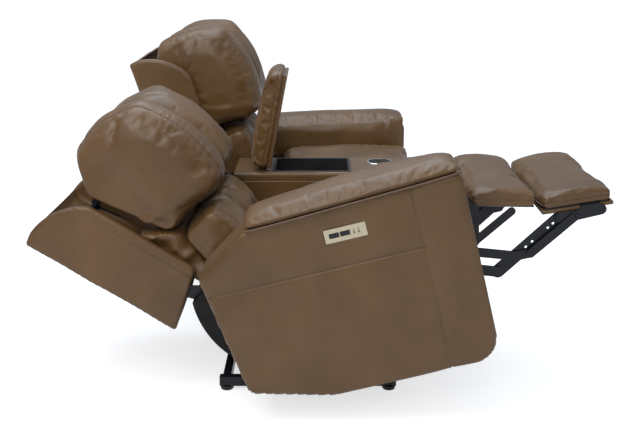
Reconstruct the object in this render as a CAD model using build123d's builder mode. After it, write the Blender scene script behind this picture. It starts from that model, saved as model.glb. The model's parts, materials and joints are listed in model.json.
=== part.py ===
"""Power reclining loveseat: two wall-hugger recliner seats with a storage console between them.

The seats are mirror images. The left one stands upright. The right one is fully reclined, with its
footrest out and its inner back swung forward. Each seat is drawn once, upright, on the +X side.
Frame: +Z up, -Y to the front, origin on the floor under the middle of the space it covers.
"""
import os
from math import atan2, cos, degrees, dist, pi, radians, sin

from build123d import *

os.makedirs("parts", exist_ok=True)

# Widths along X, from the middle of the console outwards
CONSOLE_WIDTH = 256
CONSOLE_GAP = 4
BOARD = 18
BAY_WIDTH = 540
ARM_WIDTH = 192
PAD_OVERHANG = 16
SOFT_MARGIN = 20
WING = 26
WING_GAP = 4

# Steel stock and running clearances
PLATE = 4
LANE = 6
LINK_WIDTH = 32
PIN_RADIUS = 5
PIN_CLEARANCE = 0.3
LOOSE_CLEARANCE = 6.5
RIVET_HEAD = 1.5
TUBE_RADIUS = 10
SOFT_CLEARANCE = 0.4

# Floor and base
FOOT_HEIGHT = 12
FOOT_RADIUS = 20
RAIL_WIDTH = 25
RAIL_HEIGHT = 30
RAIL_FRONT = -245
RAIL_REAR = 300
TIE_INSET = 22

# Pivots of one upright seat, as (Y, Z), and what each joint does on the way to full recline
REAR_LIFT_FOOT = (203, 92)
REAR_LIFT_HEAD = (270, 240)
FRONT_LIFT_FOOT = (-60, 55)
FRONT_LIFT_HEAD = (80, 216)
LOWER_PIVOT = (-190, 306)
MID_PIVOT = (-360, 478)
BACK_PIVOT = (228, 313)
LIFT_SWING = 45.33
SEAT_TILT = -14.0
FRONT_LIFT_SWING = 37.5
BACK_SWING = -26.5
FOOT_LINK_SWING = -92.8
MID_SWING = -74.5
BOARD_SWING = -85.1
HEADREST_SWING = 17.0
LID_OPEN = 79.0

# Footrest linkage: two equal links carry the main link without turning it
LOWER_LENGTH = 254
LOWER_STOWED = 292.7
MAIN_LENGTH = 242.4
MAIN_ANGLE = 150.3
MAIN_WIDTH = 40
LINK_SPACING = 70.5
CONTROL_TAIL = 41.7
CONTROL_BEND = -18.85
BOARD_LINK_LENGTH = 172.8
BOARD_LINK_ANGLE = 151.55
BOARD_PIVOT_PITCH = 45

# Footrest pads, hanging at the front of the upright seat
PANEL_BACK = -328
PANEL = 5
PAD_FRONT = -370
MID_TOP = 466
MID_BOTTOM = 246
MAIN_TOP = 241
MAIN_BOTTOM = 38

# Seat box and cushion
DECK_TOP = 430
DECK_DEPTH = 58
DECK_FRONT = -320
SEAT_TOP = 505
SEAT_FRONT = -360
SEAT_REAR = 132
WEBBING = 2
STRAP_WIDTH = 55
STRAPS = 5
APRON = 2.5
BOARD_BOTTOM = 60
REAR_CURVE = ((385, 142), (447, 232), (470, 352))

# Arm, in side view
ARM_FRONT = -370
ARM_BOTTOM = 40
ARM_TOP_FRONT = 594
ARM_TOP_REAR = 573
ARM_PAD_REAR = 245
ARM_PAD_RISE = 44
ARM_PAD_SIDE = 0.5
ARM_PAD_INSET = 24
ARM_PAD_STATIONS = 12
ARM_ROLL = 14
ARM_ROLL_GAP = 14
ARM_EDGE = 14
ARM_WALL = 22
ARM_HOLLOW = 42
ARM_SHOULDER = (403, 470)
ARM_HEEL = (352, 104)
ARM_KNEE = (116, 40)
ARM_ROUNDS = (78, 24, 60, 20, 30, 240)
PLATE_CENTRE = (-27, 505)
PLATE_LENGTH = 117
PLATE_HEIGHT = 39
PLATE_DEPTH = 5
ROCKER_LENGTH = 27
ROCKER_HEIGHT = 13
ROCKER_TRAVEL = 6
ROCKER_PIVOT = 4
ROCKER_PIN = 1.5

# Back, along its own slope: u up the back and v to the front, both from the back pivot
BACK_LEAN = 17.5
SHELL_BOTTOM_FRONT = 242
SHELL_BOTTOM_REAR = 196
SHELL_SHOULDER = 598
SHELL_TOP = 708
SHELL_FRONT = -55
SHELL_REAR = -255
SHELL_SKIN = 20
INNER_PIVOT = (120, -110)
PIVOT_TUBE = 8
FRAME_BAR = 24
FRAME_INSET = 80
FRAME_REACH = (12, 222)
LUMBAR_REST = (330, -72)
PILLOW_BOTTOM = 368
PILLOW_WAIST = 640
PILLOW_TOP = 780
PILLOW_SEAT = (-86, -203)
PILLOW_REAR = -165
PILLOW_FRONT = 116
LUMBAR_BOTTOM = 192
LUMBAR_TOP = 356
LUMBAR_FRONT = 70

# Console
CONSOLE_FRONT = -330
CONSOLE_REAR = 290
CONSOLE_TOP = 568
CONSOLE_WALL = 18
BIN_FRONT = -112
BIN_REAR = 150
BIN_DEPTH = 230
BIN_RIM = 24
BIN_WALL = 3
CUP_RADIUS = 43
CUP_DEPTH = 78
CUP_WALL = 2
CUP_LIP = 5
CUP_Y = -226
CUP_PITCH = 106
LID_FRONT = -168
LID_HINGE_Y = 170
LID_GAP = 2
LID_BOARD = 12
LID_PAD = 55
HINGE_RADIUS = 4
LUG_SPACING = 150

# Drive under each seat
DRIVE_WIDTH = 24
DRIVE_HEIGHT = 22
MOTOR_RADIUS = 29
MOTOR_LENGTH = 105
MOTOR_REAR = -70
FORK_WALL = 10
FORK_PLAY = 1.6
FORK_RISE = 36

BAY_IN = CONSOLE_WIDTH / 2 + CONSOLE_GAP + BOARD
BAY_OUT = BAY_IN + BAY_WIDTH
ARM_IN = BAY_OUT + BOARD
SEAT_MID = (BAY_IN + BAY_OUT) / 2
RAIL_TOP = FOOT_HEIGHT + RAIL_HEIGHT
MIRROR = Plane.YZ.offset(SEAT_MID)


def lane(number):
    """Inner X of a steel layer: lane 0 lies on the outer side board, the others step inwards."""
    return BAY_OUT - PLATE - LANE * number


def heading(start, end):
    """Side-view angle of the line from one point to another."""
    return degrees(atan2(end[1] - start[1], end[0] - start[0]))


def polar(point, length, angle):
    """The point at a length and an angle from another, in side view."""
    return point[0] + length * cos(radians(angle)), point[1] + length * sin(radians(angle))


def back_point(u, v):
    """Side-view place of a point of the upright back."""
    lean = radians(BACK_LEAN)
    return (BACK_PIVOT[0] + u * sin(lean) - v * cos(lean), BACK_PIVOT[1] + u * cos(lean) + v * sin(lean))


CONTROL_PIVOT = polar(LOWER_PIVOT, LINK_SPACING, MAIN_ANGLE)
KNEE = polar(LOWER_PIVOT, LOWER_LENGTH, LOWER_STOWED)
MAIN_JOINT = polar(KNEE, LINK_SPACING, MAIN_ANGLE)
BOARD_PIVOT = polar(KNEE, MAIN_LENGTH, MAIN_ANGLE)
TAIL = polar(MAIN_JOINT, CONTROL_TAIL, LOWER_STOWED + CONTROL_BEND)
BOARD_LINK_END = polar(TAIL, BOARD_LINK_LENGTH, BOARD_LINK_ANGLE)
DRIVE_TUBE = polar(LOWER_PIVOT, 62, LOWER_STOWED)
HEADREST_PIVOT = back_point(*INNER_PIVOT)
ROCKER_Y = (PLATE_CENTRE[0] + 32, PLATE_CENTRE[0] + 1)
ROCKER_X = ARM_IN + ARM_WIDTH - PAD_OVERHANG

# Bodies of one seat: parent, pivot in side view, turn about +X from upright to fully reclined
BODIES = {
    "rear_lift": ("base", REAR_LIFT_FOOT, LIFT_SWING),
    "front_lift": ("base", FRONT_LIFT_FOOT, FRONT_LIFT_SWING),
    "seat": ("rear_lift", REAR_LIFT_HEAD, SEAT_TILT - LIFT_SWING),
    "back": ("seat", BACK_PIVOT, BACK_SWING),
    "inner_back": ("back", HEADREST_PIVOT, HEADREST_SWING),
    "mid_panel": ("seat", MID_PIVOT, MID_SWING),
    "lower_link": ("seat", LOWER_PIVOT, FOOT_LINK_SWING),
    "control_link": ("seat", CONTROL_PIVOT, FOOT_LINK_SWING),
    "main_link": ("lower_link", KNEE, -FOOT_LINK_SWING),
    "board_link": ("control_link", TAIL, -FOOT_LINK_SWING),
    "footrest": ("main_link", BOARD_PIVOT, BOARD_SWING),
    "recline_rocker": ("seat", (ROCKER_Y[0], PLATE_CENTRE[1]), 0),
    "headrest_rocker": ("seat", (ROCKER_Y[1], PLATE_CENTRE[1]), 0),
}
LID_HINGE = (LID_HINGE_Y, CONSOLE_TOP + LID_GAP + LID_BOARD / 2)
LIFT_ANGLE = heading(REAR_LIFT_FOOT, REAR_LIFT_HEAD) + LIFT_SWING
HEAD_RECLINED = polar(REAR_LIFT_FOOT, dist(REAR_LIFT_FOOT, REAR_LIFT_HEAD), LIFT_ANGLE)
DRIVE_TRAVEL = HEAD_RECLINED[0] - REAR_LIFT_HEAD[0]


def back_plane(x):
    """Sketch plane across the back at one X, with u along it and v to the front."""
    lean = radians(BACK_LEAN)
    return Plane(origin=(x, *BACK_PIVOT), x_dir=(0, sin(lean), cos(lean)), z_dir=(1, 0, 0))


def bars(plane, *runs):
    """Round-ended bars between points, each run being a width and its points."""
    with BuildSketch(plane) as outline:
        for width, *points in runs:
            for start, end in zip(points, points[1:]):
                with Locations(((start[0] + end[0]) / 2, (start[1] + end[1]) / 2)):
                    SlotCenterToCenter(dist(start, end), width, rotation=heading(start, end))
    return outline.sketch


def rod(x_from, x_to, point, radius, mode=Mode.ADD):
    """A round bar along X, or a hole of that size."""
    with BuildSketch(Plane.YZ.offset(x_from)) as circle:
        with Locations(point):
            Circle(radius)
    extrude(circle.sketch, amount=x_to - x_from, mode=mode)


def pivot_pin(from_lane, to_lane, point):
    """A pin that grows from one steel layer through another, with a flat head."""
    x_from, x_to = lane(from_lane), lane(to_lane)
    if x_to < x_from:
        rod(x_to - RIVET_HEAD, x_from, point, PIN_RADIUS)
        rod(x_to - RIVET_HEAD, x_to - SOFT_CLEARANCE, point, PIN_RADIUS + 3)
    else:
        rod(x_from, x_to + PLATE, point, PIN_RADIUS)


def pin_hole(at_lane, point, clearance=PIN_CLEARANCE):
    """The hole in one steel layer that a pin turns in."""
    rod(lane(at_lane), lane(at_lane) + PLATE, point, PIN_RADIUS + clearance, Mode.SUBTRACT)


def padded_block(planes, corners, sizes, bulges, radius):
    """A cushion: one rounded outline drawn on each plane at its own size, lofted end to end.

    The first two corners are its flat base; the sections shrink about the middle of that base.
    """
    centre = (Vector(*corners[0]) + Vector(*corners[1])) / 2
    sections = []
    for plane, size in zip(planes, sizes):
        points = [centre + (Vector(*corner) - centre) * size for corner in corners]
        with BuildSketch(plane) as section:
            with BuildLine():
                for number, bulge in enumerate(bulges):
                    start, end = points[number], points[(number + 1) % len(points)]
                    if bulge:
                        SagittaArc(start, end, bulge * size)
                    else:
                        Line(start, end)
            make_face()
            fillet(section.vertices(), radius)
        sections.append(section.sketch)
    loft(sections)


PLAIN_SHARES = (0, 0.05, 0.5, 0.95, 1)
FIRM_ENDS = (0.94, 0.99, 1.0, 0.99, 0.94)
CHANNEL_SHARES = (0, 0.06, 0.27, 0.5, 0.73, 0.94, 1)
CHANNEL_SIZES = (0.9, 0.975, 1.0, 0.94, 1.0, 0.975, 0.9)


def across(x_from, x_to, plane_at=Plane.YZ.offset, shares=PLAIN_SHARES):
    """Planes across a cushion from end to end."""
    return [plane_at(x_from + (x_to - x_from) * share) for share in shares]


def rear_lift_links():
    with BuildPart() as piece:
        link = bars(Plane.YZ.offset(lane(4)), (LINK_WIDTH, REAR_LIFT_FOOT, REAR_LIFT_HEAD))
        extrude(link, amount=PLATE)
        pin_hole(4, REAR_LIFT_FOOT)
        pivot_pin(4, 0, REAR_LIFT_HEAD)
        rod(SEAT_MID, lane(4), REAR_LIFT_HEAD, TUBE_RADIUS)
        mirror(about=MIRROR)
    return piece.part


def front_lift_links():
    with BuildPart() as piece:
        link = bars(Plane.YZ.offset(lane(4)), (LINK_WIDTH, FRONT_LIFT_FOOT, FRONT_LIFT_HEAD))
        extrude(link, amount=PLATE)
        pin_hole(4, FRONT_LIFT_FOOT)
        pin_hole(4, FRONT_LIFT_HEAD, LOOSE_CLEARANCE)
        mirror(about=MIRROR)
    return piece.part


def side_plates():
    with BuildPart() as piece:
        front = (MID_PIVOT, CONTROL_PIVOT, LOWER_PIVOT, FRONT_LIFT_HEAD, REAR_LIFT_HEAD, BACK_PIVOT)
        runs = ((LINK_WIDTH, *front), (LINK_WIDTH, LOWER_PIVOT, BACK_PIVOT))
        extrude(bars(Plane.YZ.offset(lane(0)), *runs), amount=PLATE)
        pin_hole(0, REAR_LIFT_HEAD)
        pivot_pin(0, 4, FRONT_LIFT_HEAD)
        pivot_pin(0, 1, LOWER_PIVOT)
        pivot_pin(0, 1, CONTROL_PIVOT)
        pivot_pin(0, 2, MID_PIVOT)
        pivot_pin(0, 2, BACK_PIVOT)
        mirror(about=MIRROR)
    return piece.part


def seat_frame():
    """Two side boards joined by a ladder of rails that carries the webbing."""
    rail_x = BAY_OUT - 60
    rear_rail, front_rail = SEAT_REAR + 18, DECK_FRONT + 150
    with BuildPart() as piece:
        with BuildSketch(Plane.YZ.offset(BAY_OUT)):
            with BuildLine():
                Polyline(REAR_CURVE[-1], (398, 400), (340, DECK_TOP), (DECK_FRONT, DECK_TOP),
                         (DECK_FRONT, BOARD_BOTTOM + 30), (DECK_FRONT + 30, BOARD_BOTTOM),
                         (250, BOARD_BOTTOM), REAR_CURVE[0])
                ThreePointArc(*REAR_CURVE)
            make_face()
        extrude(amount=BOARD)
        for y in (front_rail, rear_rail):
            with Locations((SEAT_MID, y, DECK_TOP)):
                Box(BAY_WIDTH / 2, 22, DECK_DEPTH, align=(Align.MIN, Align.MIN, Align.MAX))
        with Locations((rail_x, DECK_FRONT, DECK_TOP)):
            Box(20, rear_rail - DECK_FRONT, DECK_DEPTH * 0.7, align=(Align.MIN, Align.MIN, Align.MAX))
        with Locations((SEAT_MID, DECK_FRONT, DECK_TOP)):
            Box(rail_x - SEAT_MID, 22, DECK_DEPTH * 0.7, align=(Align.MIN, Align.MIN, Align.MAX))
        mirror(about=MIRROR)
    return piece.part


def seat_webbing():
    pitch = (BAY_WIDTH - 120) / STRAPS
    length = SEAT_REAR + 40 - DECK_FRONT
    with BuildPart() as piece:
        with Locations((SEAT_MID, DECK_FRONT + length / 2, DECK_TOP)):
            with GridLocations(pitch, 1, STRAPS, 1):
                Box(STRAP_WIDTH, length, WEBBING, align=(Align.CENTER, Align.CENTER, Align.MIN))
    return piece.part


def seat_cushion():
    bottom = DECK_TOP + WEBBING
    corners = ((SEAT_FRONT + 40, bottom), (SEAT_REAR, bottom), (SEAT_REAR - 6, SEAT_TOP - 10),
               (SEAT_FRONT, SEAT_TOP), (SEAT_FRONT, bottom + 22))
    with BuildPart() as piece:
        planes = across(BAY_IN + SOFT_MARGIN, BAY_OUT - SOFT_MARGIN)
        padded_block(planes, corners, FIRM_ENDS, (0, -3, -12, -4, 0), 18)
    return piece.part


def arm_panel():
    """Upholstered arm box, hollow towards the seat's side board as far up as the board covers it."""
    corners = ((ARM_FRONT, ARM_BOTTOM), (ARM_FRONT, ARM_TOP_FRONT), (ARM_PAD_REAR, ARM_TOP_REAR),
               ARM_SHOULDER, ARM_HEEL, ARM_KNEE)
    with BuildPart() as piece:
        with BuildSketch(Plane.YZ.offset(ARM_IN)) as outline:
            with BuildLine():
                Polyline(*corners, close=True)
            make_face()
            for corner, radius in zip(corners, ARM_ROUNDS):
                fillet(outline.vertices().sort_by_distance(Vector(*corner))[0], radius)
        extrude(amount=ARM_WIDTH - PAD_OVERHANG)
        fillet(piece.faces().sort_by(Axis.X)[-1].edges(), ARM_EDGE)
        with BuildSketch(Plane.YZ.offset(ARM_IN)):
            with BuildLine():
                Polyline((ARM_FRONT, ARM_BOTTOM), (ARM_FRONT, DECK_TOP), (ARM_HEEL[0], DECK_TOP), ARM_HEEL,
                         ARM_KNEE, close=True)
            make_face()
            offset(amount=-ARM_HOLLOW, kind=Kind.INTERSECTION, mode=Mode.REPLACE)
        extrude(amount=ARM_WIDTH - PAD_OVERHANG - ARM_WALL, mode=Mode.SUBTRACT)
        with BuildSketch(Plane.YZ.offset(ROCKER_X)):
            with Locations(PLATE_CENTRE):
                Rectangle(PLATE_LENGTH - 8, PLATE_HEIGHT - 8)
        extrude(amount=-14, mode=Mode.SUBTRACT)
    return piece.part


def arm_pad():
    """Padded arm top that rolls over the inner side of the arm, drawn through sections along its length."""
    x_in, x_out, x_roll = ARM_IN - SOFT_CLEARANCE, ARM_IN + ARM_WIDTH, ARM_IN - ARM_ROLL
    slope = (ARM_TOP_REAR - ARM_TOP_FRONT) / (ARM_PAD_REAR - ARM_FRONT)
    with BuildPart() as piece:
        sections = []
        for station in range(ARM_PAD_STATIONS + 1):
            reach = -cos(pi * station / ARM_PAD_STATIONS)
            size = 0.5 + 0.5 * (1 - abs(reach) ** 5) ** 0.5
            y = ARM_FRONT + 1 + (ARM_PAD_REAR - ARM_FRONT - 1) * (1 + reach) / 2
            base = ARM_TOP_FRONT + slope * (y - ARM_FRONT) + SOFT_CLEARANCE
            rise, inset = ARM_PAD_RISE * size, ARM_PAD_INSET * (1 - size)
            shoulder = base + rise * ARM_PAD_SIDE
            hem = DECK_TOP + ARM_ROLL_GAP + 2 * inset
            outer, roll = x_out - inset, x_roll + ARM_ROLL * (1 - size)
            with BuildSketch(Plane.XZ.offset(-y)) as section:
                with BuildLine():
                    Line((roll, shoulder), (roll, hem))
                    Line((roll, hem), (x_in, hem))
                    Line((x_in, hem), (x_in, base))
                    Line((x_in, base), (outer, base))
                    Line((outer, base), (outer, shoulder))
                    ThreePointArc((outer, shoulder), ((roll + outer) / 2, base + rise), (roll, shoulder))
                make_face()
            sections.append(section.sketch)
        loft(sections, ruled=True)
    return piece.part


def control_plate():
    """Metal switch plate with a rocker window and two charging sockets."""
    with BuildPart() as piece:
        with BuildSketch(Plane.YZ.offset(ROCKER_X)):
            with Locations(PLATE_CENTRE):
                RectangleRounded(PLATE_LENGTH, PLATE_HEIGHT, 3)
        extrude(amount=PLATE_DEPTH)
        with BuildSketch(Plane.YZ.offset(ROCKER_X - 12)):
            with Locations(PLATE_CENTRE):
                RectangleRounded(PLATE_LENGTH - 9, PLATE_HEIGHT - 9, 2)
        extrude(amount=12)
        with BuildSketch(Plane.YZ.offset(ROCKER_X + PLATE_DEPTH)):
            for y in ROCKER_Y:
                with Locations((y, PLATE_CENTRE[1])):
                    Rectangle(ROCKER_LENGTH + 1.2, ROCKER_HEIGHT + 1.2)
        extrude(amount=-10, mode=Mode.SUBTRACT)
        with BuildSketch(Plane.YZ.offset(ROCKER_X + PLATE_DEPTH)):
            for shift in (-24, -37):
                with Locations((PLATE_CENTRE[0] + shift, PLATE_CENTRE[1])):
                    Rectangle(6, 14)
        extrude(amount=-8, mode=Mode.SUBTRACT)
    return piece.part


def rocker(y):
    """A two-way key that rocks on its middle."""
    crest = ROCKER_X + PLATE_DEPTH
    with BuildPart() as piece:
        with BuildSketch(Plane.XY.offset(PLATE_CENTRE[1] - ROCKER_HEIGHT / 2)):
            with BuildLine():
                front, rear = y - ROCKER_LENGTH / 2, y + ROCKER_LENGTH / 2
                Polyline((crest - 3.5, front), (crest - 6, y), (crest - 3.5, rear), (crest + 1.2, rear))
                ThreePointArc((crest + 1.2, rear), (crest - 0.4, y), (crest + 1.2, front))
                Line((crest + 1.2, front), (crest - 3.5, front))
            make_face()
        extrude(amount=ROCKER_HEIGHT)
        with Locations((crest - ROCKER_PIVOT, y, PLATE_CENTRE[1])):
            Cylinder(ROCKER_PIN, ROCKER_HEIGHT + 2 * SOFT_CLEARANCE)
    return piece.part


def recline_rocker():
    return rocker(ROCKER_Y[0])


def headrest_rocker():
    return rocker(ROCKER_Y[1])


def back_frame():
    """Hinge straps, cross tubes, the inner back's pivot tube and the motor that swings it."""
    strap_end = SHELL_TOP - 90
    with BuildPart() as piece:
        runs = ((34, (0, 0), (255, -150), (strap_end, -214)), (26, (60, -36), INNER_PIVOT, (255, -150)))
        extrude(bars(back_plane(lane(2)), *runs), amount=PLATE)
        rod(lane(2), lane(2) + PLATE, BACK_PIVOT, PIN_RADIUS + PIN_CLEARANCE, Mode.SUBTRACT)
        tubes = ((255, -172, TUBE_RADIUS), (strap_end, -222, TUBE_RADIUS), (*INNER_PIVOT, PIVOT_TUBE))
        for u, v, radius in tubes:
            rod(SEAT_MID, lane(2), back_point(u, v), radius)
        mirror(about=MIRROR)
        with BuildSketch(back_plane(SEAT_MID - 26)):
            with Locations((310, -200)):
                RectangleRounded(120, 54, 8)
        extrude(amount=52)
    return piece.part


def back_shell():
    """Upholstered outer back: rear skin, rounded top and two side wings, open to the front and below."""
    x_in, x_out = BAY_IN - BOARD + WING_GAP, ARM_IN - WING_GAP
    with BuildPart() as piece:
        with BuildSketch(back_plane(x_in)):
            with BuildLine():
                Polyline((SHELL_SHOULDER, SHELL_FRONT), (SHELL_BOTTOM_FRONT, SHELL_FRONT),
                         (SHELL_BOTTOM_REAR, SHELL_REAR), (SHELL_TOP - 4, SHELL_REAR))
                Line((SHELL_TOP - 4, SHELL_REAR), (SHELL_TOP, SHELL_REAR + 40))
                ThreePointArc((SHELL_TOP, SHELL_REAR + 40), (680, -130), (SHELL_SHOULDER, SHELL_FRONT))
            make_face()
        extrude(amount=x_out - x_in)
        fillet(piece.edges().filter_by(Axis.X).sort_by(Axis.Z)[-2:], 8)
        with BuildSketch(back_plane(x_in + WING)):
            with BuildLine():
                Polyline((0, SHELL_REAR + SHELL_SKIN), (SHELL_TOP - 24, SHELL_REAR + SHELL_SKIN),
                         (SHELL_TOP + 20, SHELL_REAR + SHELL_SKIN + 36), (SHELL_TOP + 20, 60), (0, 60),
                         close=True)
            make_face()
        extrude(amount=x_out - x_in - 2 * WING, mode=Mode.SUBTRACT)
    return piece.part


def inner_back_frame():
    """Swinging frame that carries the lumbar cushion and the headrest pillow."""
    slope = heading((PILLOW_BOTTOM, PILLOW_SEAT[0]), (PILLOW_WAIST, PILLOW_SEAT[1]))
    low, high = (polar((PILLOW_BOTTOM, PILLOW_SEAT[0]), reach, slope) for reach in FRAME_REACH)
    under = FRAME_BAR / 2 + SOFT_CLEARANCE
    low, high = polar(low, under, slope - 90), polar(high, under, slope - 90)
    x_arm = BAY_OUT - FRAME_INSET
    with BuildPart() as piece:
        runs = ((FRAME_BAR + 2, INNER_PIVOT, LUMBAR_REST), (FRAME_BAR, LUMBAR_REST, low, high))
        extrude(bars(back_plane(x_arm), *runs), amount=2 * PLATE)
        rod(x_arm, x_arm + 2 * PLATE, HEADREST_PIVOT, PIVOT_TUBE + PIN_CLEARANCE, Mode.SUBTRACT)
        for u, v in (LUMBAR_REST, low, high):
            rod(SEAT_MID, x_arm, back_point(u, v), PIVOT_TUBE - 1)
        mirror(about=MIRROR)
    return piece.part


def lumbar_cushion():
    rear = LUMBAR_REST[1] + FRAME_BAR / 2 + 1 + SOFT_CLEARANCE
    corners = ((LUMBAR_BOTTOM, rear), (LUMBAR_TOP, rear), (LUMBAR_TOP + 4, LUMBAR_FRONT - 12),
               (LUMBAR_BOTTOM, LUMBAR_FRONT))
    with BuildPart() as piece:
        padded_block(across(BAY_IN + SOFT_MARGIN - 6, BAY_OUT - SOFT_MARGIN + 6, back_plane, CHANNEL_SHARES),
                     corners, CHANNEL_SIZES, (0, 6, -18, 6), 26)
    return piece.part


def headrest_pillow():
    """Deep pillow whose rear rests on the inner back frame, with a channel down its middle."""
    corners = ((PILLOW_BOTTOM, PILLOW_SEAT[0]), (PILLOW_WAIST, PILLOW_SEAT[1]), (PILLOW_TOP - 8, PILLOW_REAR),
               (PILLOW_TOP - 8, 70), (PILLOW_BOTTOM + 32, PILLOW_FRONT))
    with BuildPart() as piece:
        padded_block(across(BAY_IN + SOFT_MARGIN, BAY_OUT - SOFT_MARGIN, back_plane, CHANNEL_SHARES), corners,
                     CHANNEL_SIZES, (0, -6, -14, -30, 8), 45)
    return piece.part


def mid_panel():
    """Pressed panel behind the middle pad, with hinge ears and a stop lobe."""
    lobe = (-218, 418)
    with BuildPart() as piece:
        runs = ((28, MID_PIVOT, (PANEL_BACK + 16, MID_TOP - 40), lobe),
                (24, lobe, (PANEL_BACK + 14, MID_BOTTOM + 70)))
        extrude(bars(Plane.YZ.offset(lane(2)), *runs), amount=PLATE)
        pin_hole(2, MID_PIVOT)
        with Locations((SEAT_MID, PANEL_BACK, MID_BOTTOM + 6)):
            Box(lane(2) - SEAT_MID + PLATE, PANEL, MID_TOP - MID_BOTTOM - 46,
                align=(Align.MIN, Align.MAX, Align.MIN))
        mirror(about=MIRROR)
    return piece.part


def pad_on_panel(bottom, top):
    back = PANEL_BACK - PANEL
    corners = ((back, top), (back, bottom), (PAD_FRONT + 6, bottom + 3), (PAD_FRONT + 6, top - 3))
    with BuildPart() as piece:
        planes = across(BAY_IN + SOFT_MARGIN, BAY_OUT - SOFT_MARGIN)
        padded_block(planes, corners, FIRM_ENDS, (0, 0, 10, 0), 13)
    return piece.part


def mid_pad():
    return pad_on_panel(MID_BOTTOM, MID_TOP - 30)


def footrest_pad():
    return pad_on_panel(MAIN_BOTTOM, MAIN_TOP)


def footrest_panel():
    """Pressed panel behind the outer pad, with the two brackets that the links hold."""
    second = (BOARD_PIVOT[0], BOARD_PIVOT[1] - BOARD_PIVOT_PITCH)
    toe = (BOARD_PIVOT[0] - 6, MAIN_BOTTOM + 36)
    with BuildPart() as piece:
        extrude(bars(Plane.YZ.offset(lane(1)), (LINK_WIDTH, BOARD_PIVOT, second, toe)), amount=PLATE)
        with Locations((lane(1) + PLATE, PANEL_BACK, second[1] - 14)):
            Box(60, BOARD_PIVOT[0] - PANEL_BACK, second[1] - 14 - toe[1],
                align=(Align.MAX, Align.MIN, Align.MAX))
        with Locations((lane(1), PANEL_BACK + PANEL, second[1])):
            Box(120, 60, 200, align=(Align.MAX, Align.MIN, Align.CENTER), mode=Mode.SUBTRACT)
        pivot_pin(1, 2, BOARD_PIVOT)
        pivot_pin(1, 0, second)
        with Locations((SEAT_MID, PANEL_BACK, MAIN_BOTTOM + 6)):
            Box(lane(2) - SEAT_MID - 2, PANEL, MAIN_TOP - MAIN_BOTTOM - 12,
                align=(Align.MIN, Align.MAX, Align.MIN))
        mirror(about=MIRROR)
    return piece.part


def lower_links():
    """The two lower links and the tube that keeps them in step."""
    with BuildPart() as piece:
        extrude(bars(Plane.YZ.offset(lane(1)), (LINK_WIDTH, LOWER_PIVOT, KNEE)), amount=PLATE)
        punched(1, LOWER_PIVOT, KNEE, (0.5, 0.62))
        pin_hole(1, LOWER_PIVOT)
        pivot_pin(1, 2, KNEE)
        rod(SEAT_MID, lane(1), DRIVE_TUBE, TUBE_RADIUS)
        mirror(about=MIRROR)
    return piece.part


def punched(at_lane, start, end, shares):
    """Spare holes along a link, as shares of its length."""
    for share in shares:
        rod(lane(at_lane), lane(at_lane) + PLATE, polar(start, share * dist(start, end), heading(start, end)),
            PIN_RADIUS - 1, Mode.SUBTRACT)


def main_links():
    with BuildPart() as piece:
        extrude(bars(Plane.YZ.offset(lane(2)), (MAIN_WIDTH, KNEE, BOARD_PIVOT)), amount=PLATE)
        punched(2, KNEE, BOARD_PIVOT, (0.45, 0.55, 0.8, 0.88))
        for point in (KNEE, MAIN_JOINT, BOARD_PIVOT):
            pin_hole(2, point, 2 * PIN_CLEARANCE)
        mirror(about=MIRROR)
    return piece.part


def control_links():
    with BuildPart() as piece:
        link = bars(Plane.YZ.offset(lane(1)), (LINK_WIDTH - 4, CONTROL_PIVOT, MAIN_JOINT, TAIL))
        extrude(link, amount=PLATE)
        pin_hole(1, CONTROL_PIVOT)
        pivot_pin(1, 2, MAIN_JOINT)
        pivot_pin(1, 0, TAIL)
        mirror(about=MIRROR)
    return piece.part


def board_links():
    with BuildPart() as piece:
        link = bars(Plane.YZ.offset(lane(0) + 0.5), (LINK_WIDTH - 6, TAIL, BOARD_LINK_END))
        extrude(link, amount=PLATE - 1)
        pin_hole(0, TAIL)
        pin_hole(0, BOARD_LINK_END, 1.5)
        mirror(about=MIRROR)
    return piece.part


def rear_apron():
    """Black cloth apron, curved round the rear edges of the side boards."""
    with BuildPart() as piece:
        with BuildSketch(Plane.YZ.offset(BAY_IN - BOARD)):
            with BuildLine():
                edge = ThreePointArc(*REAR_CURVE)
                offset(edge, APRON, side=Side.RIGHT)
            make_face()
        extrude(amount=BAY_WIDTH + 2 * BOARD)
    return piece.part


def drive_carriage():
    """Slider on the drive rail, with a fork round the rear lift tube."""
    y, z = REAR_LIFT_HEAD
    rail_top = RAIL_TOP + DRIVE_HEIGHT + SOFT_CLEARANCE
    reach = TUBE_RADIUS + FORK_PLAY + FORK_WALL
    with BuildPart() as piece:
        with Locations((SEAT_MID, y, RAIL_TOP + 4)):
            Box(DRIVE_WIDTH + 16, 60, rail_top - RAIL_TOP + 8,
                align=(Align.CENTER, Align.CENTER, Align.MIN))
            Box(DRIVE_WIDTH + 2 * SOFT_CLEARANCE, 60, rail_top - RAIL_TOP - 4,
                align=(Align.CENTER, Align.CENTER, Align.MIN), mode=Mode.SUBTRACT)
        with BuildSketch(Plane.YZ.offset(SEAT_MID - DRIVE_WIDTH / 2)):
            with BuildLine():
                Polyline((y - 28, rail_top + 6), (y + 28, rail_top + 6), (y + reach, z - 40),
                         (y + reach, z + FORK_RISE), (y - reach, z + FORK_RISE), (y - reach, z - 40),
                         close=True)
            make_face()
            with Locations((y, z - TUBE_RADIUS - FORK_PLAY)):
                Rectangle(2 * (TUBE_RADIUS + FORK_PLAY), 90, align=(Align.CENTER, Align.MIN),
                          mode=Mode.SUBTRACT)
        extrude(amount=DRIVE_WIDTH)
    return piece.part


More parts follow.
